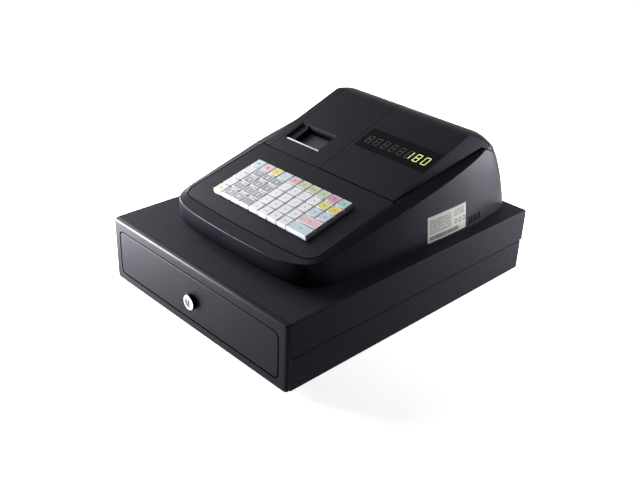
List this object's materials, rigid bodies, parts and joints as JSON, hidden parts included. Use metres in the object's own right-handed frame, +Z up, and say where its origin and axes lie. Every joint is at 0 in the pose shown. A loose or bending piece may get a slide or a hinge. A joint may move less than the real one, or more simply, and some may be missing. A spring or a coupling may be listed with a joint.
{
  "type": "electronic cash register",
  "caption": "Electronic cash register with a sloping keyboard, display and receipt printer on a steel cash drawer with a lock.",
  "frame": {"origin": "middle of the whole unit's footprint, on the surface the feet stand on", "axes": "+Z up, the drawer opens towards -Y, +X to the right seen from the front"},
  "size_m": [0.325, 0.43, 0.2003],
  "materials": {
    "housing_steel": "fine textured black powder coat",
    "front_plastic": "satin grey-black moulding",
    "tray_steel": "satin black paint on folded sheet",
    "insert_plastic": "matt black moulding",
    "clip_plastic": "matt black moulding",
    "lock_chrome": "polished chrome",
    "latch_steel": "plated steel",
    "rubber": "matt black rubber",
    "case_plastic": "fine-grained black moulding, satin sheen",
    "smoked_window": "glossy smoked acrylic",
    "printer_grey": "matt grey moulding",
    "paper": "white paper, wound",
    "key_white": "semi-gloss moulded key",
    "key_grey": "semi-gloss moulded key",
    "key_lavender": "semi-gloss moulded key",
    "key_cyan": "semi-gloss moulded key",
    "key_teal": "semi-gloss moulded key",
    "key_pink": "semi-gloss moulded key",
    "key_magenta": "semi-gloss moulded key",
    "key_rose": "semi-gloss moulded key",
    "key_yellow": "semi-gloss moulded key",
    "key_amber": "semi-gloss moulded key",
    "key_blue": "semi-gloss moulded key",
    "key_green": "semi-gloss moulded key",
    "key_sage": "semi-gloss moulded key"
  },
  "bodies": {
    "housing": {"housing_cover": "housing_steel", "housing_base": "housing_steel", "front_frame": "front_plastic", "foot_1": "rubber", "foot_2": "rubber", "foot_3": "rubber", "foot_4": "rubber", "lower_case": "case_plastic", "upper_case": "case_plastic", "keyboard_deck": "case_plastic", "customer_window": "smoked_window", "display_window": "smoked_window", "printer_frame": "printer_grey", "key_bed": "printer_grey", "cord_gland": "rubber"},
    "drawer": {"drawer_front": "front_plastic", "drawer_tray": "tray_steel", "till_insert": "insert_plastic", "lock_barrel": "lock_chrome"},
    "cover": {"printer_cover": "case_plastic"},
    "lock": {"lock_plug": "lock_chrome"},
    "clip_left": {"note_clip_1": "clip_plastic"},
    "clip_middle": {"note_clip_2": "clip_plastic"},
    "clip_right": {"note_clip_3": "clip_plastic"},
    "latch": {"latch_lever": "latch_steel"},
    "roll": {"paper_roll": "paper"},
    "platen": {"platen_roller": "rubber"},
    "key_1_1_cap": {"key_1_1": "key_cyan"},
    "key_1_2_cap": {"key_1_2": "key_pink"},
    "key_1_3_cap": {"key_1_3": "key_yellow"},
    "key_1_4_cap": {"key_1_4": "key_blue"},
    "key_1_5_cap": {"key_1_5": "key_rose"},
    "key_1_6_cap": {"key_1_6": "key_sage"},
    "key_1_7_cap": {"key_1_7": "key_green"},
    "key_1_8_cap": {"key_1_8": "key_sage"},
    "key_1_9_cap": {"key_1_9": "key_magenta"},
    "key_1_10_cap": {"key_1_10": "key_teal"},
    "key_2_1_cap": {"key_2_1": "key_lavender"},
    "key_2_2_cap": {"key_2_2": "key_grey"},
    "key_2_3_cap": {"key_2_3": "key_grey"},
    "key_2_4_cap": {"key_2_4": "key_grey"},
    "key_2_9_cap": {"key_2_9": "key_yellow"},
    "key_2_10_cap": {"key_2_10": "key_amber"},
    "key_3_1_cap": {"key_3_1": "key_lavender"},
    "key_3_2_cap": {"key_3_2": "key_grey"},
    "key_3_3_cap": {"key_3_3": "key_grey"},
    "key_3_4_cap": {"key_3_4": "key_grey"},
    "key_3_9_cap": {"key_3_9": "key_blue"},
    "key_3_10_cap": {"key_3_10": "key_blue"},
    "key_4_1_cap": {"key_4_1": "key_lavender"},
    "key_4_2_cap": {"key_4_2": "key_grey"},
    "key_4_3_cap": {"key_4_3": "key_grey"},
    "key_4_4_cap": {"key_4_4": "key_grey"},
    "key_4_9_cap": {"key_4_9": "key_pink"},
    "key_5_1_cap": {"key_5_1": "key_green"},
    "key_5_2_cap": {"key_5_2": "key_grey"},
    "key_5_3_cap": {"key_5_3": "key_grey"},
    "key_5_4_cap": {"key_5_4": "key_grey"},
    "key_5_9_cap": {"key_5_9": "key_cyan"},
    "department_block": {"department_keys": "key_white"}
  },
  "joints": [
    {"name": "drawer_slide", "type": "slide", "parent": "housing", "child": "drawer", "axis": [0, -1, 0], "range_m": [0, 0.3]},
    {"name": "printer_cover_hinge", "type": "hinge", "parent": "housing", "child": "cover", "pos_m": [-0.057, 0.1595, 0.18947], "axis": [-1, 0, 0], "range_deg": [0, 62]},
    {"name": "lock_turn", "type": "hinge", "parent": "drawer", "child": "lock", "pos_m": [-0.001, -0.1959, 0.0423], "axis": [0, 1, 0], "range_deg": [0, 90]},
    {"name": "note_clip_left", "type": "hinge", "parent": "drawer", "child": "clip_left", "pos_m": [-0.092, 0.0838, 0.057], "axis": [-1, 0, 0], "range_deg": [0, 24], "stiffness_Nm_per_rad": 0.03, "springref_deg": -28.65},
    {"name": "note_clip_middle", "type": "hinge", "parent": "drawer", "child": "clip_middle", "pos_m": [0, 0.0838, 0.057], "axis": [-1, 0, 0], "range_deg": [0, 24], "stiffness_Nm_per_rad": 0.03, "springref_deg": -28.65},
    {"name": "note_clip_right", "type": "hinge", "parent": "drawer", "child": "clip_right", "pos_m": [0.092, 0.0838, 0.057], "axis": [-1, 0, 0], "range_deg": [0, 24], "stiffness_Nm_per_rad": 0.03, "springref_deg": -28.65},
    {"name": "latch_turn", "type": "hinge", "parent": "housing", "child": "latch", "pos_m": [0, 0.2037, 0.077], "axis": [1, 0, 0], "range_deg": [0, 12]},
    {"name": "paper_feed", "type": "hinge", "parent": "housing", "child": "roll", "pos_m": [-0.066, 0.101, 0.13599], "axis": [1, 0, 0], "continuous": true},
    {"name": "platen_turn", "type": "hinge", "parent": "housing", "child": "platen", "pos_m": [-0.066, 0.036, 0.13903], "axis": [1, 0, 0], "continuous": true},
    {"name": "department_press", "type": "slide", "parent": "housing", "child": "department_block", "axis": [0, 0.2419, -0.9703], "range_m": [0, 0.0025], "stiffness_N_per_m": 600, "springref_m": -0.002},
    {"name": "key_1_1_press", "type": "slide", "parent": "housing", "child": "key_1_1_cap", "axis": [0, 0.2419, -0.9703], "range_m": [0, 0.0025], "stiffness_N_per_m": 200, "springref_m": -0.002},
    {"name": "key_1_2_press", "type": "slide", "parent": "housing", "child": "key_1_2_cap", "axis": [0, 0.2419, -0.9703], "range_m": [0, 0.0025], "stiffness_N_per_m": 200, "springref_m": -0.002},
    {"name": "key_1_3_press", "type": "slide", "parent": "housing", "child": "key_1_3_cap", "axis": [0, 0.2419, -0.9703], "range_m": [0, 0.0025], "stiffness_N_per_m": 200, "springref_m": -0.002},
    {"name": "key_1_4_press", "type": "slide", "parent": "housing", "child": "key_1_4_cap", "axis": [0, 0.2419, -0.9703], "range_m": [0, 0.0025], "stiffness_N_per_m": 200, "springref_m": -0.002},
    {"name": "key_1_5_press", "type": "slide", "parent": "housing", "child": "key_1_5_cap", "axis": [0, 0.2419, -0.9703], "range_m": [0, 0.0025], "stiffness_N_per_m": 200, "springref_m": -0.002},
    {"name": "key_1_6_press", "type": "slide", "parent": "housing", "child": "key_1_6_cap", "axis": [0, 0.2419, -0.9703], "range_m": [0, 0.0025], "stiffness_N_per_m": 200, "springref_m": -0.002},
    {"name": "key_1_7_press", "type": "slide", "parent": "housing", "child": "key_1_7_cap", "axis": [0, 0.2419, -0.9703], "range_m": [0, 0.0025], "stiffness_N_per_m": 200, "springref_m": -0.002},
    {"name": "key_1_8_press", "type": "slide", "parent": "housing", "child": "key_1_8_cap", "axis": [0, 0.2419, -0.9703], "range_m": [0, 0.0025], "stiffness_N_per_m": 200, "springref_m": -0.002},
    {"name": "key_1_9_press", "type": "slide", "parent": "housing", "child": "key_1_9_cap", "axis": [0, 0.2419, -0.9703], "range_m": [0, 0.0025], "stiffness_N_per_m": 200, "springref_m": -0.002},
    {"name": "key_1_10_press", "type": "slide", "parent": "housing", "child": "key_1_10_cap", "axis": [0, 0.2419, -0.9703], "range_m": [0, 0.0025], "stiffness_N_per_m": 200, "springref_m": -0.002},
    {"name": "key_2_1_press", "type": "slide", "parent": "housing", "child": "key_2_1_cap", "axis": [0, 0.2419, -0.9703], "range_m": [0, 0.0025], "stiffness_N_per_m": 200, "springref_m": -0.002},
    {"name": "key_2_2_press", "type": "slide", "parent": "housing", "child": "key_2_2_cap", "axis": [0, 0.2419, -0.9703], "range_m": [0, 0.0025], "stiffness_N_per_m": 200, "springref_m": -0.002},
    {"name": "key_2_3_press", "type": "slide", "parent": "housing", "child": "key_2_3_cap", "axis": [0, 0.2419, -0.9703], "range_m": [0, 0.0025], "stiffness_N_per_m": 200, "springref_m": -0.002},
    {"name": "key_2_4_press", "type": "slide", "parent": "housing", "child": "key_2_4_cap", "axis": [0, 0.2419, -0.9703], "range_m": [0, 0.0025], "stiffness_N_per_m": 200, "springref_m": -0.002},
    {"name": "key_2_9_press", "type": "slide", "parent": "housing", "child": "key_2_9_cap", "axis": [0, 0.2419, -0.9703], "range_m": [0, 0.0025], "stiffness_N_per_m": 200, "springref_m": -0.002},
    {"name": "key_2_10_press", "type": "slide", "parent": "housing", "child": "key_2_10_cap", "axis": [0, 0.2419, -0.9703], "range_m": [0, 0.0025], "stiffness_N_per_m": 200, "springref_m": -0.002},
    {"name": "key_3_1_press", "type": "slide", "parent": "housing", "child": "key_3_1_cap", "axis": [0, 0.2419, -0.9703], "range_m": [0, 0.0025], "stiffness_N_per_m": 200, "springref_m": -0.002},
    {"name": "key_3_2_press", "type": "slide", "parent": "housing", "child": "key_3_2_cap", "axis": [0, 0.2419, -0.9703], "range_m": [0, 0.0025], "stiffness_N_per_m": 200, "springref_m": -0.002},
    {"name": "key_3_3_press", "type": "slide", "parent": "housing", "child": "key_3_3_cap", "axis": [0, 0.2419, -0.9703], "range_m": [0, 0.0025], "stiffness_N_per_m": 200, "springref_m": -0.002},
    {"name": "key_3_4_press", "type": "slide", "parent": "housing", "child": "key_3_4_cap", "axis": [0, 0.2419, -0.9703], "range_m": [0, 0.0025], "stiffness_N_per_m": 200, "springref_m": -0.002},
    {"name": "key_3_9_press", "type": "slide", "parent": "housing", "child": "key_3_9_cap", "axis": [0, 0.2419, -0.9703], "range_m": [0, 0.0025], "stiffness_N_per_m": 200, "springref_m": -0.002},
    {"name": "key_3_10_press", "type": "slide", "parent": "housing", "child": "key_3_10_cap", "axis": [0, 0.2419, -0.9703], "range_m": [0, 0.0025], "stiffness_N_per_m": 200, "springref_m": -0.002},
    {"name": "key_4_1_press", "type": "slide", "parent": "housing", "child": "key_4_1_cap", "axis": [0, 0.2419, -0.9703], "range_m": [0, 0.0025], "stiffness_N_per_m": 200, "springref_m": -0.002},
    {"name": "key_4_2_press", "type": "slide", "parent": "housing", "child": "key_4_2_cap", "axis": [0, 0.2419, -0.9703], "range_m": [0, 0.0025], "stiffness_N_per_m": 200, "springref_m": -0.002},
    {"name": "key_4_3_press", "type": "slide", "parent": "housing", "child": "key_4_3_cap", "axis": [0, 0.2419, -0.9703], "range_m": [0, 0.0025], "stiffness_N_per_m": 200, "springref_m": -0.002},
    {"name": "key_4_4_press", "type": "slide", "parent": "housing", "child": "key_4_4_cap", "axis": [0, 0.2419, -0.9703], "range_m": [0, 0.0025], "stiffness_N_per_m": 200, "springref_m": -0.002},
    {"name": "key_4_9_press", "type": "slide", "parent": "housing", "child": "key_4_9_cap", "axis": [0, 0.2419, -0.9703], "range_m": [0, 0.0025], "stiffness_N_per_m": 200, "springref_m": -0.002},
    {"name": "key_5_1_press", "type": "slide", "parent": "housing", "child": "key_5_1_cap", "axis": [0, 0.2419, -0.9703], "range_m": [0, 0.0025], "stiffness_N_per_m": 200, "springref_m": -0.002},
    {"name": "key_5_2_press", "type": "slide", "parent": "housing", "child": "key_5_2_cap", "axis": [0, 0.2419, -0.9703], "range_m": [0, 0.0025], "stiffness_N_per_m": 200, "springref_m": -0.002},
    {"name": "key_5_3_press", "type": "slide", "parent": "housing", "child": "key_5_3_cap", "axis": [0, 0.2419, -0.9703], "range_m": [0, 0.0025], "stiffness_N_per_m": 200, "springref_m": -0.002},
    {"name": "key_5_4_press", "type": "slide", "parent": "housing", "child": "key_5_4_cap", "axis": [0, 0.2419, -0.9703], "range_m": [0, 0.0025], "stiffness_N_per_m": 200, "springref_m": -0.002},
    {"name": "key_5_9_press", "type": "slide", "parent": "housing", "child": "key_5_9_cap", "axis": [0, 0.2419, -0.9703], "range_m": [0, 0.0025], "stiffness_N_per_m": 200, "springref_m": -0.002}
  ],
  "couplings": [
    {"joint": "platen_turn", "follows": "paper_feed", "ratio": 4.6667}
  ]
}
